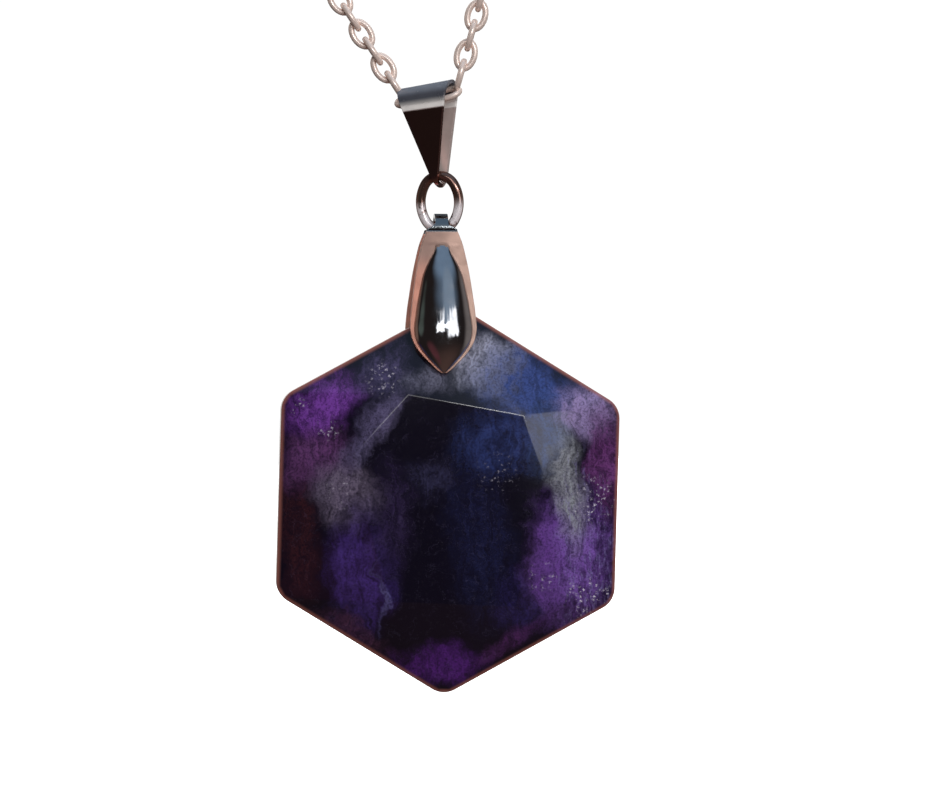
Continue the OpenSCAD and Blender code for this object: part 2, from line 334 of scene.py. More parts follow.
def closed_loft(loops):
    """Vertices and faces of a solid through closed loops of the same count, capped at both ends."""
    n = len(loops[0])
    half = n // 2
    verts = [p for loop in loops for p in loop]
    faces = []
    for i in range(len(loops) - 1):
        for k in range(n):
            m = (k + 1) % n
            faces.append((i * n + k, i * n + m, (i + 1) * n + m, (i + 1) * n + k))
    for k in range(half - 1):
        faces.append((k, n - 1 - k, n - 2 - k, k + 1))
        last = (len(loops) - 1) * n
        faces.append((last + k, last + k + 1, last + n - 2 - k, last + n - 1 - k))
    return verts, faces


def fold_point(r, a, down=0.0):
    """Depth, height and half width of the folded strip at radius r and angle a round the fold."""
    high = r * math.sin(a) - FOLD_DROP - down
    half = np.interp(high, (WIDE_TO, NARROW_FROM), (LEAF[0][1] * MM, FOLD_HALF))
    return -r * math.cos(a), high, half


def fold_loops(steps=60):
    """Loops of the strip that folds over the ring, from the front leaf's top to the back one's."""
    bends = [(0, LEAF_NECK)] + [(math.pi * k / steps, 0) for k in range(steps + 1)] + [(math.pi, LEAF_NECK)]
    loops = []
    for a, down in bends:
        inner = fold_point(CAP_FOLD_R, a, down)
        outer = fold_point(CAP_FOLD_R + CAP_T, a, down)
        loops.append([(side * half, y, z) for side, (y, z, half) in
                      ((-1, outer), (1, outer), (1, inner), (-1, inner))])
    return loops


def join_solids(parts):
    verts, faces = [], []
    for part_verts, part_faces in parts:
        faces += [tuple(i + len(verts) for i in f) for f in part_faces]
        verts += list(part_verts)
    return verts, faces


def pin_solid(sides=16):
    levels, heights = [row[0] for row in LEAF], [row[3] for row in LEAF]
    end = leaf_depth(PIN_DROP) + np.interp(PIN_DROP / MM, levels, heights) * MM + CAP_T / 2
    verts = [
        (PIN_R * math.cos(a), -y, PIN_R * math.sin(a) - PIN_DROP)
        for y in (PIN_END, end) for a in (2 * math.pi * k / sides for k in range(sides))
    ]
    faces = [(k, (k + 1) % sides, sides + (k + 1) % sides, sides + k) for k in range(sides)]
    faces += [tuple(range(sides))[::-1], tuple(range(sides, 2 * sides))]
    return verts, faces


def turned(verts, angle, lean=0.0, place=0):
    """Vertices leaned about Y, turned about Z and then put in place."""
    turn = np.array(Matrix.Rotation(angle, 3, "Z") @ Matrix.Rotation(lean, 3, "Y"))
    return np.array(verts) @ turn.T + place


def painted_light_level(x, y, z):
    """Level of painted colour at a point of the cap: 0 domes and fold, 1 flats with a painted rosy
    reflection, 2 the leaves' inner faces with painted light.
    """
    rise = abs(y) - leaf_depth(-z) - CAP_T
    below = -z - FOLD_DROP - LEAF_NECK
    if below <= 0 or rise >= DOME_EDGE:
        return 0.0
    return 1.0 if rise > -CAP_T / 2 else 2.0


def cap():
    rows = leaf_rows()
    loops = [leaf_section(row, CAP_T) + leaf_section(row, 0)[::-1] for row in rows]
    leaf = closed_loft(loops)
    parts = [closed_loft(fold_loops())]
    for back in (0, math.pi):
        for verts, faces in (leaf, pin_solid()):
            parts.append((turned(verts, back), faces))
    verts, faces = join_solids(parts)
    placed = turned(verts, DROP_TURN, CAP_LEAN, RING_FOOT)
    piece = new_piece("cap_leaves", placed, faces, "drop", ["cap"])
    piece.data.set_sharp_from_angle(angle=SHARP_ON_CAP)
    # Levels of painted reflection on the flats and painted light on the inner faces
    painted_light = piece.data.attributes.new("painted_light", "FLOAT", "POINT")
    painted_light.data.foreach_set("value", [painted_light_level(*v) for v in verts])
    return piece


# Stone

def apply_modifier(piece, kind, **settings):
    """Adds a modifier with these settings and makes its result the piece's mesh."""
    modifier = piece.modifiers.new(kind.lower(), kind)
    for key, value in settings.items():
        setattr(modifier, key, value)
    graph = bpy.context.evaluated_depsgraph_get()
    mesh = bpy.data.meshes.new_from_object(piece.evaluated_get(graph))
    piece.modifiers.clear()
    piece.data = mesh


def girdle_reach():
    """Distance from the stone's centre to its rounded corners."""
    return (STONE_W / 2 - CORNER_R) / math.cos(math.radians(HEX_TURN / 2)) + CORNER_R


def girdle_outline(steps=10):
    middle = girdle_reach() - CORNER_R
    points = []
    for corner in range(HEX_SIDES):
        a = math.radians(HEX_TURN / 2 + HEX_TURN * corner)
        for k in range(steps + 1):
            b = a + math.radians(-HEX_TURN / 2 + HEX_TURN * k / steps)
            points.append((middle * math.cos(a) + CORNER_R * math.cos(b),
                           middle * math.sin(a) + CORNER_R * math.sin(b)))
    return points


def drill_bit():
    """Round bar as long as the hole for the pins, in its place."""
    data = bpy.data.meshes.new("drill")
    bit = bmesh.new()
    hang = Matrix.Translation(RING_FOOT) @ Matrix.Rotation(DROP_TURN, 4, "Z")
    hang = hang @ Matrix.Rotation(CAP_LEAN, 4, "Y")
    across = Matrix.Translation((0, 0, -PIN_DROP)) @ Matrix.Rotation(math.pi / 2, 4, "X")
    bmesh.ops.create_cone(bit, cap_ends=True, segments=HOLE_SIDES, radius1=HOLE_R, radius2=HOLE_R,
                          depth=2 * STONE_T, matrix=hang @ across)
    bit.to_mesh(data)
    bit.free()
    drill = bpy.data.objects.new("drill", data)
    bpy.context.scene.collection.objects.link(drill)
    return drill


def hull_solid(corners):
    """Vertices and flat faces of the convex solid through these corners."""
    cut = bmesh.new()
    for corner in corners:
        cut.verts.new(corner)
    bmesh.ops.convex_hull(cut, input=cut.verts)
    bmesh.ops.dissolve_limit(cut, angle_limit=ONE_PLANE, verts=cut.verts, edges=cut.edges)
    verts = np.array([v.co[:] for v in cut.verts])
    cut.verts.index_update()
    faces = [[v.index for v in f.verts] for f in cut.faces]
    cut.free()
    return verts, faces


def stone():
    table = [(d * MM * math.cos(math.radians(a)), d * MM * math.sin(math.radians(a))) for a, d in TABLE]
    corners = [(x, side * GIRDLE_T / 2, z) for side in (-1, 1) for x, z in girdle_outline()]
    corners += [(x, side * STONE_T / 2, z) for side in (-1, 1) for x, z in table]
    verts, faces = hull_solid(corners)
    placed = turned(verts, DROP_TURN, STONE_LEAN, stone_centre())
    piece = new_piece("cut_stone", placed, faces, "drop", ["stone"])
    apply_modifier(piece, "BEVEL", width=FACET_SOFT, segments=FACET_STEPS, limit_method="ANGLE",
                   angle_limit=FACET_FROM, harden_normals=False)
    drill = drill_bit()
    apply_modifier(piece, "BOOLEAN", object=drill, operation="DIFFERENCE", solver="EXACT")
    bpy.data.objects.remove(drill)
    piece.data.polygons.foreach_set("use_smooth", [True] * len(piece.data.polygons))
    piece.data.set_sharp_from_angle(angle=SHARP_ON_STONE)
    return piece


# Materials

# Places of the mix node's sockets for colours
MIX_A, MIX_B, MIX_RESULT = 6, 7, 2


class Nodes:
    """Short calls for building one material's or world's node tree."""

    def __init__(self, tree):
        self.tree = tree
        tree.nodes.clear()

    def add(self, kind, inputs=None, **settings):
        node = self.tree.nodes.new(kind)
        for key, value in settings.items():
            setattr(node, key, value)
        for key, value in (inputs or {}).items():
            self.put(node, key, value)
        return node

    def put(self, node, key, value):
        socket = node.inputs[key]
        if isinstance(value, bpy.types.NodeSocket):
            self.tree.links.new(value, socket)
        else:
            socket.default_value = value

    def math(self, operation, a, b=0.0, clamp=False):
        return self.add("ShaderNodeMath", {0: a, 1: b}, operation=operation, use_clamp=clamp).outputs[0]

    def product(self, *factors):
        result = factors[0]
        for factor in factors[1:]:
            result = self.math("MULTIPLY", result, factor)
        return result

    def vector(self, operation, a, b=(0, 0, 0)):
        return self.add("ShaderNodeVectorMath", {0: a, 1: b}, operation=operation).outputs[0]

    def dot(self, a, b):
        return self.add("ShaderNodeVectorMath", {0: a, 1: b}, operation="DOT_PRODUCT").outputs["Value"]

    def length(self, a):
        return self.add("ShaderNodeVectorMath", {0: a}, operation="LENGTH").outputs["Value"]

    def parts(self, a):
        return self.add("ShaderNodeSeparateXYZ", {"Vector": a}).outputs

    def within(self, place, middle, turn, sizes):
        """Place in a frame with this middle and turn, in units of these sizes."""
        node = self.add("ShaderNodeMapping", {
            "Vector": place, "Location": middle, "Rotation": turn, "Scale": sizes}, vector_type="TEXTURE")
        return node.outputs[0]

    def mix(self, factor, a, b):
        node = self.add("ShaderNodeMix", {0: factor, MIX_A: a, MIX_B: b}, data_type="RGBA")
        return node.outputs[MIX_RESULT]

    def noise(self, place, scale, detail=3.0, rough=0.5):
        node = self.add("ShaderNodeTexNoise", {
            "Vector": place, "Scale": scale, "Detail": detail, "Roughness": rough})
        return node.outputs["Fac"]

    def drift(self, place, scale, detail=2.0):
        """Noise with a value of its own along each axis."""
        node = self.add("ShaderNodeTexNoise", {"Vector": place, "Scale": scale, "Detail": detail})
        return node.outputs["Color"]

    def ramp(self, value, low, high):
        node = self.add("ShaderNodeMapRange", {"Value": value, "From Min": low, "From Max": high},
                        interpolation_type="SMOOTHSTEP")
        return node.outputs["Result"]

    def surface(self, **inputs):
        """A surface with these inputs, whose names have _ for a space."""
        named = {key.replace("_", " "): value for key, value in inputs.items()}
        shader = self.add("ShaderNodeBsdfPrincipled", named)
        self.add("ShaderNodeOutputMaterial", {"Surface": shader.outputs[0]})


def new_material(name):
    """A material with an empty node tree, its nodes and the place on the object."""
    material = bpy.data.materials.new(name)
    material.use_nodes = True
    nodes = Nodes(material.node_tree)
    return material, nodes, nodes.add("ShaderNodeTexCoord").outputs["Object"]


def srgb(r, g, b):
    """Linear colour of an 8-bit screen colour."""
    channels = [c / 255 for c in (r, g, b)]
    return (*[c / 12.92 if c <= 0.04045 else ((c + 0.055) / 1.055) ** 2.4 for c in channels], 1)


# Wear of every metal: waves a metre and detail of its smudges and hairlines, and what they do
SMUDGES = (900.0, 4.0)
SMUDGE_DULL = (0.4, 0.75)
SMUDGE_WORN = (0.3, 0.8)
WORN_VALUE = 0.86
HAIRS = (9000.0, 2.0)
HAIR_STRETCH = (1, 1, 0.12)
HAIR_STRENGTH = 0.03
HAIR_DEPTH = 0.02 * MM
METAL_EDGE_R = 0.08 * MM
METAL_EDGE_SAMPLES = 6


def metal(name, look, smudge):
    """Polished metal with faint smudges and fine hairline wear. The look is a function that gives its tint,
    roughness and metallic share, each as a value or a socket."""
    material, nodes, place = new_material(name)
    tint, roughness, metallic = look(nodes, place)
    cloudy = nodes.noise(place, *SMUDGES)
    hair = nodes.noise(nodes.vector("MULTIPLY", place, HAIR_STRETCH), *HAIRS)
    dull = nodes.math("ADD", roughness, nodes.product(nodes.ramp(cloudy, *SMUDGE_DULL), smudge))
    worn = nodes.add("ShaderNodeHueSaturation", {"Color": tint, "Value": WORN_VALUE}).outputs[0]
    colour = nodes.mix(nodes.ramp(cloudy, *SMUDGE_WORN), tint, worn)
    bump = nodes.add("ShaderNodeBump", {"Strength": HAIR_STRENGTH, "Distance": HAIR_DEPTH, "Height": hair})
    edge = nodes.add("ShaderNodeBevel", {"Radius": METAL_EDGE_R, "Normal": bump.outputs[0]},
                     samples=METAL_EDGE_SAMPLES)
    nodes.surface(Base_Color=colour, Metallic=metallic, Roughness=dull, Normal=edge.outputs[0])
    return material


def even_look(tint, roughness, metallic):
    """The same tint, roughness and metallic share all over."""
    return lambda nodes, place: (tint, roughness, metallic)


def satin(nodes, share, mirror, change):
    """Roughness and metallic share: the mirror's, and rougher and less metallic by the change at share 1."""
    roughness, metallic = mirror
    rougher, plainer = change
    roughness = nodes.math("ADD", roughness, nodes.product(share, rougher))
    return roughness, nodes.math("SUBTRACT", metallic, nodes.product(share, plainer))


def millimetres(nodes, place, middle):
    """Place in mm from a middle."""
    return nodes.vector("MULTIPLY", nodes.vector("SUBTRACT", place, tuple(middle)), (1 / MM, 1 / MM, 1 / MM))


# Plain metals: tint, roughness and metallic share
CHAIN_LOOK = (srgb(255, 234, 223), 0.2, 0.4)
CHAIN_SMUDGE = 0.1
FITTING_SMUDGE = 0.08

# Bail: painted reflections in bands round its top fold and a painted highlight line under them, by their
# height in mm over the chain on a line that leans with the fold
BAND_LEAN = (-0.077, 0, 1)
BAND_FADE = (0.1, 0.7)
BAND_START = (-1.15, -1.05)
HIGHLIGHT_RISE = (-0.1, -0.85)
HIGHLIGHT_END = (-1.25, -1.05)
BACK_UNDER = (0.2, -0.4)
# Depths in mm behind the chain between which the back leg starts
BACK_START = (0.0, 0.4)
# Tints that paint reflections: the band's bluish grey, the brownish front leg and the pale beige back leg;
# the cream one is a painted highlight line
BAND_REFLECTION_LOW = srgb(92, 94, 104)
BAND_REFLECTION_HIGH = srgb(124, 130, 142)
FRONT_LEG_REFLECTION = srgb(196, 158, 152)
BACK_LEG_REFLECTION = srgb(226, 208, 202)
HIGHLIGHT_LINE = srgb(255, 250, 246)
# How far the painted band, the back leg and the painted highlight line are pale rather than mirrors
BAND_PALE = 0.6
BACK_PALE = 0.5
HIGHLIGHT_PALE = 0.9
# Roughness and metallic share of the bail where it is a mirror, and their changes where it is pale
BAIL_MIRROR = (0.07, 1.0)
BAIL_CHANGE = (0.25, 1.0)


def bail_look(nodes, place):
    """Painted reflections: bluish at the top fold with a painted cream highlight line under it, a brownish
    front leg and a pale beige back leg.
    """
    own = millimetres(nodes, place, RUN_MID)
    height = nodes.dot(own, BAND_LEAN)
    band = nodes.ramp(height, *BAND_START)
    highlight_line = nodes.product(nodes.ramp(height, *HIGHLIGHT_RISE), nodes.ramp(height, *HIGHLIGHT_END))
    back = nodes.product(nodes.ramp(nodes.parts(own)[1], *BACK_START), nodes.ramp(height, *BACK_UNDER))
    tint = nodes.mix(nodes.ramp(height, *BAND_FADE), BAND_REFLECTION_LOW, BAND_REFLECTION_HIGH)
    tint = nodes.mix(band, FRONT_LEG_REFLECTION, tint)
    tint = nodes.mix(back, tint, BACK_LEG_REFLECTION)
    tint = nodes.mix(highlight_line, tint, HIGHLIGHT_LINE)
    pale = nodes.math("MAXIMUM", nodes.product(band, BAND_PALE), nodes.product(back, BACK_PALE))
    pale = nodes.math("MAXIMUM", pale, nodes.product(highlight_line, HIGHLIGHT_PALE))
    return tint, *satin(nodes, pale, BAIL_MIRROR, BAIL_CHANGE)


# Jump ring: heights in mm over its middle and distances in mm from its own plane between which its painted
# highlight patches start, and their waves a metre and detail
RING_FADE = (0.6, -0.8)
RING_FRONT = (0.1, 0.32)
RING_HIGHLIGHT_PATCHES = (1100.0, 2.0)
RING_HIGHLIGHT_EDGE = (0.36, 0.5)
# Brown tint as a painted dark reflection all over, and near white for the painted highlights
RING_DARK_REFLECTION = srgb(152, 118, 107)
RING_HIGHLIGHT = srgb(255, 246, 248)
RING_MIRROR = (0.06, 0.9)
RING_CHANGE = (0.2, 0.6)


def ring_look(nodes, place):
    """A brown tint that paints a dark reflection, with painted highlight patches down the front and back of
    the lower half.
    """
    own = nodes.within(place, tuple((RING_TOP + RING_FOOT) / 2), (0, 0, RING_TURN), (MM, MM, MM))
    parts = nodes.parts(own)
    front = nodes.ramp(nodes.math("ABSOLUTE", parts[1]), *RING_FRONT)
    patches = nodes.ramp(nodes.noise(place, *RING_HIGHLIGHT_PATCHES), *RING_HIGHLIGHT_EDGE)
    pale = nodes.product(nodes.ramp(parts[2], *RING_FADE), nodes.product(patches, front))
    return nodes.mix(pale, RING_DARK_REFLECTION, RING_HIGHLIGHT), *satin(nodes, pale, RING_MIRROR, RING_CHANGE)


# Cap: heights in mm over the ring's foot between which domes turn to the fold's steel, darkened as painted
# shade, and the flats' left side, a painted rosy reflection, turns more orange, and places across in mm
# between which the left colour turns to the right one
COLLAR_FADE = (-0.9, -0.3)
LEFT_FADE = (-2.0, -5.0)
ACROSS_FADE = (-1.5, 1.5)
# Tints: plain steel for the domes, the collar darker as painted shade, the flats' rosy and orange tints as
# painted reflections, and the inner faces paler as painted light
DOME_STEEL = srgb(206, 208, 214)
COLLAR_SHADE = srgb(156, 162, 166)
LEFT_REFLECTION_TOP = srgb(126, 98, 88)
LEFT_REFLECTION_LOW = srgb(174, 118, 100)
RIGHT_FLAT_REFLECTION = srgb(170, 138, 124)
INNER_FACE_LIGHT = srgb(255, 200, 180)
CAP_MIRROR = (0.07, 1.0)
CAP_CHANGE = (0.25, 0.6)


def cap_look(nodes, place):
    """Steel domes, a fold darkened as painted shade, and flats whose rosy satin colour is a painted
    reflection, more orange low at their left, with inner faces brightened as painted light.
    """
    parts = nodes.parts(millimetres(nodes, place, RING_FOOT))
    level = nodes.add("ShaderNodeAttribute", attribute_name="painted_light").outputs["Fac"]
    painted_light = nodes.ramp(level, 0.0, 1.0)
    steel = nodes.mix(nodes.ramp(parts[2], *COLLAR_FADE), DOME_STEEL, COLLAR_SHADE)
    left = nodes.mix(nodes.ramp(parts[2], *LEFT_FADE), LEFT_REFLECTION_TOP, LEFT_REFLECTION_LOW)
    flats = nodes.mix(nodes.ramp(parts[0], *ACROSS_FADE), left, RIGHT_FLAT_REFLECTION)
    flats = nodes.mix(nodes.ramp(level, 1.0, 2.0), flats, INNER_FACE_LIGHT)
    return nodes.mix(painted_light, steel, flats), *satin(nodes, painted_light, CAP_MIRROR, CAP_CHANGE)


# Clouds of colour in the stone: right and up from its centre and two half sizes in mm, tilt of the first
# half size up to the right in degrees, screen colour, strength
CLOUDS = [
    ((-13.7, -2.5), (1.8, 6.0), 0, (54, 26, 33), 0.9),
    ((-10.8, 9.0), (4.2, 2.4), 30, (116, 62, 154), 1.0),
    ((-11.8, 4.2), (3.4, 2.6), 20, (106, 64, 116), 0.9),
    ((-5.2, 11.6), (2.6, 2.2), 30, (68, 60, 94), 0.9),
    ((-6.6, 6.4), (4.6, 1.2), 50, (92, 84, 118), 0.85),
    ((-9.2, 1.0), (2.8, 3.2), 0, (106, 94, 116), 0.95),
    ((-8.3, -6.5), (2.8, 5.4), 0, (68, 48, 120), 0.9),
    ((-6.2, -8.4), (0.25, 3.2), 0, (88, 84, 130), 0.5),
    ((-1.6, 10.8), (2.2, 1.4), 0, (96, 94, 114), 0.9),
    ((3.8, 12.4), (3.4, 2.4), -30, (162, 162, 182), 1.0),
    ((7.8, 9.8), (5.4, 3.0), -25, (54, 70, 130), 1.0),
    ((4.6, 5.0), (4.4, 2.8), 0, (44, 56, 108), 0.9),
    ((9.4, 5.8), (1.9, 3.6), -15, (48, 68, 116), 0.9),
    ((-1.6, 1.8), (2.2, 1.8), 0, (52, 50, 80), 0.8),
    ((2.8, -3.6), (3.0, 7.5), 0, (28, 30, 62), 0.8),
    ((-5.2, -1.6), (1.8, 5.0), 0, (50, 38, 72), 0.7),
    ((6.6, -9.6), (2.4, 3.4), 0, (46, 38, 92), 0.6),
    ((12.8, 7.8), (2.8, 2.6), 0, (142, 124, 170), 1.0),
    ((14.6, 3.2), (1.5, 4.4), 0, (108, 58, 116), 0.9),
    ((11.2, -5.8), (3.8, 6.2), 0, (120, 82, 166), 1.0),
    ((8.8, -6.2), (1.2, 5.0), 0, (100, 62, 140), 0.8),
    ((11.0, 0.6), (1.7, 5.0), 5, (140, 142, 150), 0.95),
    ((-1.3, -15.2), (4.4, 1.9), 0, (78, 34, 112), 0.95),
    ((5.2, -13.2), (3.6, 1.1), 30, (78, 40, 92), 0.8),
    ((-8.6, -12.0), (4.0, 1.0), -30, (72, 42, 66), 0.8),
]
# Clusters of tiny white specks: right and up from the centre and radius in mm, strength
SPECKS = [
    ((-5.4, 11.2), 1.7, 0.8),
    ((-13.2, 8.8), 0.9, 0.9),
    ((13.2, -0.4), 2.4, 0.8),
    ((12.8, -9.4), 2.4, 1.0),
    ((8.6, -7.2), 1.6, 0.5),
    ((4.6, 2.4), 2.0, 0.3),
    ((-9.4, 1.2), 1.8, 0.5),
    ((-10.6, 6.8), 1.2, 0.6),
]
CRYSTAL_DARK = srgb(14, 11, 25)
CRYSTAL_SPECK = srgb(222, 214, 230)
CRYSTAL_THREAD = srgb(128, 118, 158)
CRYSTAL_RIM = srgb(148, 92, 82)
# The rim's colour starts and is full at these distances in mm inside the girdle
RIM_IN, RIM_OUT = 0.45, 0.05
RIM_SHARE = 0.8

# Pattern in the stone, each noise with its waves a mm, detail and roughness: share of the depth that
# counts, waves a mm and reach in mm of the drifts that bend it, and what makes up the body of a cloud
DEPTH_SHARE = 0.35
DRIFTS = [(0.25, 4.0), (1.1, 1.4)]
DRIFT_DETAIL = 4.0
MOTTLE = (0.9, 8.0, 0.72)
MOTTLE_EDGE = (0.36, 0.66)
STREAKS = (2.2, 6.0, 0.65)
STREAK_STRETCH = (1, 1, 0.14)
STREAK_EDGE = (0.38, 0.64)
PLAIN_SHARE, MOTTLE_SHARE, STREAK_SHARE = 0.26, 0.5, 0.65
CLOUD_EDGE = (1.4, 0.3)

# Upright strokes at the lower right: zone as for a cloud, then light and dark strokes with their edge, share
# and screen colour
HATCH_MIDDLE = (12.4, -5.5)
HATCH_HALF = (3.0, 9.5)
HATCH_ZONE_EDGE = (1.3, 0.6)
HATCH = (3.4, 7.0, 0.75)
HATCH_STRETCH = (1, 1, 0.22)
HATCHES = [
    ((0.5, 0.66), 0.6, (126, 116, 170)),
    ((0.48, 0.36), 0.55, (34, 20, 54)),
]

THREADS = (0.6, 5.0, 0.6)
THREAD_EDGE = (0.012, 0.0)
THREAD_SHARE = 0.1
GRAIN = (5.0, 4.0, 0.7)
GRAIN_EDGE = (0.56, 0.36)
GRAIN_SHARE = 0.5
GRAIN_STRENGTH = 0.04
GRAIN_DEPTH = 0.05 * MM
SPECK_SCALE = 3.2
SPECK_DRIFT_SCALE = 9.0
SPECK_DRIFT = (0.5, 0.5, 0.5)
SPECK_EDGE = (0.44, 0.14)
SPECK_PICK = (0.45, 0.85)
SPECK_ANYWHERE = 0.006
CLUSTER_EDGE = (1.2, 0.3)
CRYSTAL_ROUGH = 0.11
CRYSTAL_IOR = 1.55


def stone_centre():
    return Vector(RING_FOOT) + Vector((0, 0, -STONE_DROP))


def bent_place(nodes, flat):
    """Place in the stone, bent by drifts so that its clouds have uneven edges."""
    bent = flat
    for scale, reach in DRIFTS:
        level = nodes.vector("SUBTRACT", nodes.drift(flat, scale, DRIFT_DETAIL), (0.5, 0.5, 0.5))
        bent = nodes.vector("ADD", bent, nodes.vector("MULTIPLY", level, (reach, 0, reach)))
    return bent


def oval_reach(nodes, face, middle, half_sizes, tilt=0):
    """Distance from an oval's middle in the stone's face, 1 at its outline."""
    x, z = middle
    half_x, half_z = half_sizes
    return nodes.length(nodes.within(face, (x, 0, z), (0, -math.radians(tilt), 0), (half_x, 1, half_z)))


def clouds(nodes, face, body):
    """Clouds of colour over the stone's dark ground."""
    colour = CRYSTAL_DARK
    for middle, half_sizes, tilt, screen, strength in CLOUDS:
        soft = nodes.ramp(oval_reach(nodes, face, middle, half_sizes, tilt), *CLOUD_EDGE)
        share = nodes.math("MULTIPLY", nodes.product(soft, body), strength, clamp=True)
        colour = nodes.mix(share, colour, srgb(*screen))
    return colour


def hatching(nodes, face, flat, colour):
    """Light and dark upright strokes over one zone of the stone."""
    zone = nodes.ramp(oval_reach(nodes, face, HATCH_MIDDLE, HATCH_HALF), *HATCH_ZONE_EDGE)
    stroke = nodes.noise(nodes.vector("MULTIPLY", flat, HATCH_STRETCH), *HATCH)
    for edge, share, screen in HATCHES:
        colour = nodes.mix(nodes.product(nodes.ramp(stroke, *edge), zone, share), colour, srgb(*screen))
    return colour


def threads(nodes, bent, mottle, colour):
    """Faint pale veins."""
    ridge = nodes.math("ABSOLUTE", nodes.math("SUBTRACT", nodes.noise(bent, *THREADS), 0.5))
    share = nodes.product(nodes.ramp(ridge, *THREAD_EDGE), nodes.product(mottle, THREAD_SHARE))
    return nodes.mix(share, colour, CRYSTAL_THREAD)


def specks(nodes, flat, colour):
    """Tiny white specks, thick in the clusters and very thin elsewhere."""
    shift = nodes.vector("MULTIPLY", nodes.drift(flat, SPECK_DRIFT_SCALE), SPECK_DRIFT)
    place = nodes.vector("ADD", flat, shift)
    crumb = nodes.add("ShaderNodeTexVoronoi", {"Vector": place, "Scale": SPECK_SCALE}, feature="F1")
    chosen = nodes.ramp(nodes.parts(crumb.outputs["Color"])[0], *SPECK_PICK)
    dot = nodes.product(nodes.ramp(crumb.outputs["Distance"], *SPECK_EDGE), chosen)
    near = SPECK_ANYWHERE
    edge, full = CLUSTER_EDGE
    for (x, z), radius, strength in SPECKS:
        reach = nodes.length(nodes.vector("MULTIPLY", nodes.vector("SUBTRACT", flat, (x, 0, z)), (1, 0, 1)))
        share = nodes.product(nodes.ramp(reach, radius * edge, radius * full), strength)
        near = nodes.math("MAXIMUM", near, share)
    return nodes.mix(nodes.product(dot, near), colour, CRYSTAL_SPECK)


def rim_share(nodes, place):
    """Share of the rim's colour, which is all round the girdle's six sides and rounded corners."""
    own = nodes.within(place, stone_centre(), (0, STONE_LEAN, DROP_TURN), (MM, MM, MM))
    own = nodes.vector("MULTIPLY", own, (1, 0, 1))
    reach = 0.0
    for side in range(HEX_SIDES // 2):
        a = math.radians(side * HEX_TURN)
        out = nodes.dot(own, (math.cos(a), 0, math.sin(a)))
        reach = nodes.math("MAXIMUM", reach, nodes.math("ABSOLUTE", out))
    flat, corner = STONE_W / MM / 2, girdle_reach() / MM
    on_side = nodes.ramp(reach, flat - RIM_IN, flat - RIM_OUT)
    return nodes.math("MAXIMUM", on_side, nodes.ramp(nodes.length(own), corner - RIM_IN, corner - RIM_OUT))


def crystal():
    """Polished dark quartz with clouds of violet, blue and grey, pale veins, specks and a brown rim."""
    material, nodes, place = new_material("violet_crystal")
    local = nodes.vector("SUBTRACT", place, tuple(stone_centre()))
    flat = nodes.vector("MULTIPLY", local, (1 / MM, DEPTH_SHARE / MM, 1 / MM))
    bent = bent_place(nodes, flat)
    face = nodes.vector("MULTIPLY", bent, (1, 0, 1))
    mottle = nodes.ramp(nodes.noise(bent, *MOTTLE), *MOTTLE_EDGE)
    streaks = nodes.noise(nodes.vector("MULTIPLY", bent, STREAK_STRETCH), *STREAKS)
    streaks = nodes.ramp(streaks, *STREAK_EDGE)
    uneven = nodes.math("ADD", nodes.product(mottle, MOTTLE_SHARE), nodes.product(streaks, STREAK_SHARE))
    colour = clouds(nodes, face, nodes.math("ADD", PLAIN_SHARE, uneven))
    colour = hatching(nodes, face, flat, colour)
    colour = threads(nodes, bent, mottle, colour)
    grain = nodes.noise(flat, *GRAIN)
    darker = nodes.mix(GRAIN_SHARE, colour, CRYSTAL_DARK)
    colour = nodes.mix(nodes.ramp(grain, *GRAIN_EDGE), colour, darker)
    colour = specks(nodes, flat, colour)
    colour = nodes.mix(nodes.product(rim_share(nodes, place), RIM_SHARE), colour, CRYSTAL_RIM)
    bump = nodes.add("ShaderNodeBump", {
        "Strength": GRAIN_STRENGTH, "Distance": GRAIN_DEPTH, "Height": grain})
    nodes.surface(Base_Color=colour, Roughness=CRYSTAL_ROUGH, IOR=CRYSTAL_IOR, Normal=bump.outputs[0])
    return material


def paint(piece, material):
    piece.data.materials.clear()
    piece.data.materials.append(material)


# Stage

# Floor in metres: its depth under the pendant and its corners left and near, right and far
FLOOR_GAP = 0.1
FLOOR_NEAR = (-4, -4)
FLOOR_FAR = (4, 6)
FLOOR_TONES = ((0.93, 0.93, 0.93, 1), (0.96, 0.96, 0.96, 1))
FLOOR_SCALE = 6.0
FLOOR_ROUGH = 0.9


def floor_material():
    material, nodes, place = new_material("pale_floor")
    tone = nodes.mix(nodes.noise(place, FLOOR_SCALE), *FLOOR_TONES)
    nodes.surface(Base_Color=tone, Roughness=FLOOR_ROUGH)
    return material


def floor():
    """Plain floor that no metal mirrors and that throws no light up."""
    low = cad_box[0][2] - FLOOR_GAP
    (left, near), (right, far) = FLOOR_NEAR, FLOOR_FAR
    mesh = bpy.data.meshes.new("floor")
    mesh.from_pydata([(left, near, low), (right, near, low), (right, far, low), (left, far, low)], [],
                     [(0, 1, 2, 3)])
    piece = bpy.data.objects.new("floor", mesh)
    bpy.context.scene.collection.objects.link(piece)
    piece.visible_glossy = False
    piece.visible_diffuse = False
    paint(piece, floor_material())


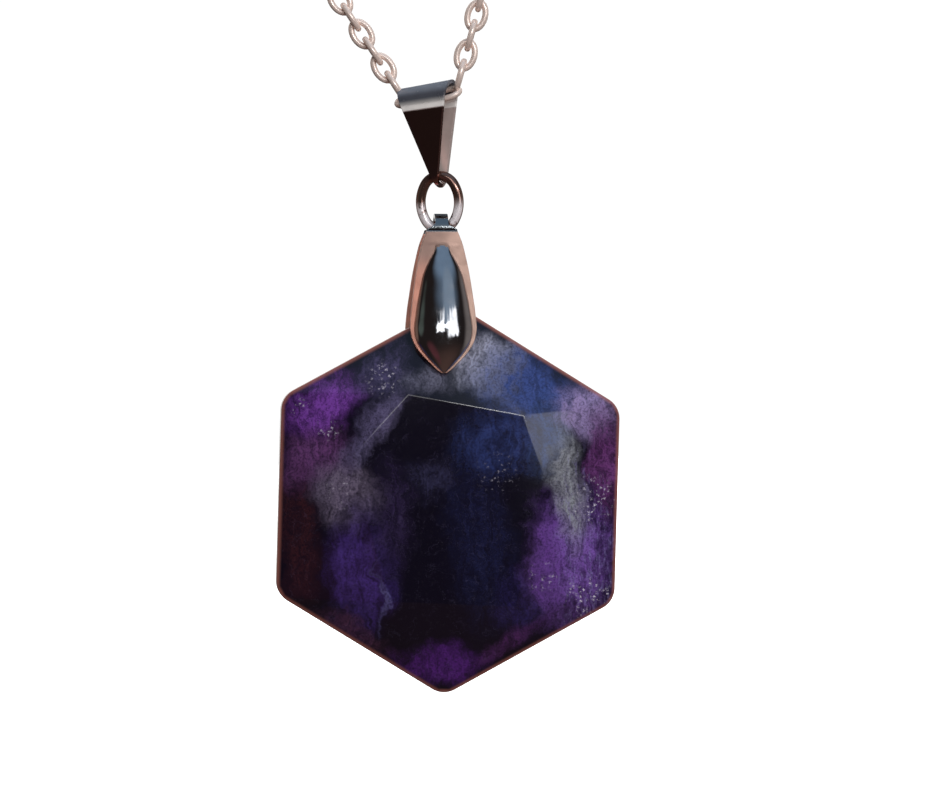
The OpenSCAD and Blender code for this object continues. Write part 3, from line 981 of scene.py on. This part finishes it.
# Room round the pendant, each patch over the ones before: bearing to the right of the viewer's side and
# height of its middle in degrees, spread where it is full and where it ends, and its light
ROOM_DARK = (0.020, 0.015, 0.014, 1)
ROOM = [
    ((28, 62), (22, 46), (0.20, 0.28, 0.38)),
    ((28, 28), (8, 20), (0.25, 0.32, 0.40)),
    ((20, -60), (20, 60), (0.09, 0.05, 0.04)),
    ((-62, 14), (7, 18), (0.085, 0.10, 0.085)),
    ((-28, -24), (5, 20), (0.11, 0.035, 0.04)),
    ((-100, 5), (8, 24), (0.20, 0.12, 0.09)),
    ((100, 0), (14, 36), (0.20, 0.17, 0.155)),
    ((180, 42), (30, 55), (0.10, 0.11, 0.125)),
    ((180, 0), (18, 30), (0.85, 0.83, 0.81)),
]
# Window panes in the room: lowest and highest bearing, lowest and highest height in degrees, light
PANES = [
    ((-6, 11), (8, 24), 2.2),
    ((19, 47), (1, 24), 1.9),
]
PANE_EDGE = math.radians(1.5)
# Branches before the panes, which break up their edges: waves over the sky and reach in radians
BRANCH_SCALE = 9.0
BRANCH_REACH = 0.25
# Light of the plain backdrop, which only the camera sees
BACKDROP = 1.05


def heading(bearing, height):
    """Unit vector at a bearing to the right of the viewer's side and a height, in degrees."""
    a, b = math.radians(bearing), math.radians(height)
    return math.sin(a) * math.cos(b), -math.cos(a) * math.cos(b), math.sin(b)


def room_patches(nodes, direction):
    """Soft patches of light round the pendant."""
    colour = ROOM_DARK
    for middle, (full, edge), light in ROOM:
        near = nodes.dot(direction, heading(*middle))
        share = nodes.ramp(near, math.cos(math.radians(edge)), math.cos(math.radians(full)))
        colour = nodes.mix(share, colour, (*light, 1))
    return colour


def window_panes(nodes, direction, colour):
    """Bright panes with uneven edges over the patches."""
    parts = nodes.parts(direction)
    bearing = nodes.math("ARCTAN2", parts[0], nodes.product(parts[1], -1.0))
    height = nodes.math("ARCSINE", parts[2])
    branches = nodes.product(nodes.math("SUBTRACT", nodes.noise(direction, BRANCH_SCALE), 0.5), BRANCH_REACH)
    for bearings, heights, light in PANES:
        share = 1.0
        for value, limits in ((bearing, bearings), (height, heights)):
            value = nodes.math("ADD", value, branches)
            start, stop = [math.radians(limit) for limit in limits]
            share = nodes.product(share, nodes.ramp(value, start - PANE_EDGE, start + PANE_EDGE))
            share = nodes.product(share, nodes.ramp(value, stop + PANE_EDGE, stop - PANE_EDGE))
        colour = nodes.mix(share, colour, (light, light, light, 1))
    return colour


def world():
    space = bpy.data.worlds.new("studio")
    bpy.context.scene.world = space
    space.use_nodes = True
    nodes = Nodes(space.node_tree)
    direction = nodes.add("ShaderNodeTexCoord").outputs["Generated"]
    colour = window_panes(nodes, direction, room_patches(nodes, direction))
    seen = nodes.add("ShaderNodeLightPath").outputs["Is Camera Ray"]
    colour = nodes.mix(seen, colour, (BACKDROP, BACKDROP, BACKDROP, 1))
    light = nodes.add("ShaderNodeBackground", {"Color": colour, "Strength": 1.0})
    nodes.add("ShaderNodeOutputWorld", {"Surface": light.outputs[0]})


# Lights in metres and watts: the strip makes the glint on the stone's edges, the fill lights its front and
# the wash lights the floor behind
STRIP_FROM = Vector((0.24, -0.6, 0.23))
STRIP_SIZE = (0.2, 0.03)
STRIP_POWER = 0.4
FILL_FROM = Vector((0.2, -0.7, 0.2))
FILL_SIZE = (0.5, 0.5)
FILL_POWER = 3.2
WASH_PLACE = Vector((0, 3, 1.5))
WASH_AIM = Vector((0, 3, -1))
WASH_SIZE = (8, 6)
WASH_POWER = 450.0


def soft_light(name, place, aim, size, power, mirrored=True):
    data = bpy.data.lights.new(name, "AREA")
    data.shape = "RECTANGLE"
    data.size, data.size_y = size
    data.energy = power
    lamp = bpy.data.objects.new(name, data)
    bpy.context.scene.collection.objects.link(lamp)
    lamp.location = place
    lamp.rotation_euler = (aim - place).to_track_quat("-Z", "Y").to_euler()
    lamp.visible_glossy = mirrored


def lights():
    aim = stone_centre()
    soft_light("edge_strip", aim + STRIP_FROM, aim, STRIP_SIZE, STRIP_POWER)
    soft_light("front_fill", aim + FILL_FROM, aim, FILL_SIZE, FILL_POWER, mirrored=False)
    soft_light("floor_wash", WASH_PLACE, WASH_AIM, WASH_SIZE, WASH_POWER, mirrored=False)


# Camera: the photo is 86.2 mm wide at the pendant, centred right of and below the ring's foot
VIEW_W = 86.24 * MM
VIEW_FROM = 300 * MM
VIEW_RIGHT = 2.293 * MM
VIEW_DOWN = 15.206 * MM
VIEW_ROLL = math.radians(1.56)
SENSOR_W = 36
CLIP_FROM = 10 * MM


def camera():
    data = bpy.data.cameras.new("camera")
    data.sensor_width = SENSOR_W
    data.lens = data.sensor_width * VIEW_FROM / VIEW_W
    data.clip_start = CLIP_FROM
    eye = bpy.data.objects.new("camera", data)
    bpy.context.scene.collection.objects.link(eye)
    c, s = math.cos(VIEW_ROLL), math.sin(VIEW_ROLL)
    place = Vector(RING_FOOT) + Vector((VIEW_RIGHT, -VIEW_FROM, -VIEW_DOWN))
    turn = Matrix(((c, s, 0), (0, 0, -1), (-s, c, 0))).to_4x4()
    eye.matrix_world = Matrix.Translation(place) @ turn
    bpy.context.scene.camera = eye


camera()
chain_metal = metal("chain_silver", even_look(*CHAIN_LOOK), CHAIN_SMUDGE)
ring_metal = metal("ring_steel", ring_look, FITTING_SMUDGE)
bail_metal = metal("bail_steel", bail_look, FITTING_SMUDGE)
cap_metal = metal("cap_steel", cap_look, FITTING_SMUDGE)
for side, name, node in ((-1, "links_left", "chain_left"), (1, "links_right", "chain_right")):
    paint(chain_half(side, name, node), chain_metal)
paint(jump_ring(), ring_metal)
paint(frame["nodes"]["bail"], bail_metal)
paint(cap(), cap_metal)
paint(frame["nodes"]["clasp"], chain_metal)
paint(stone(), crystal())
floor()
world()
lights()
bpy.context.scene.view_settings.view_transform = "Standard"
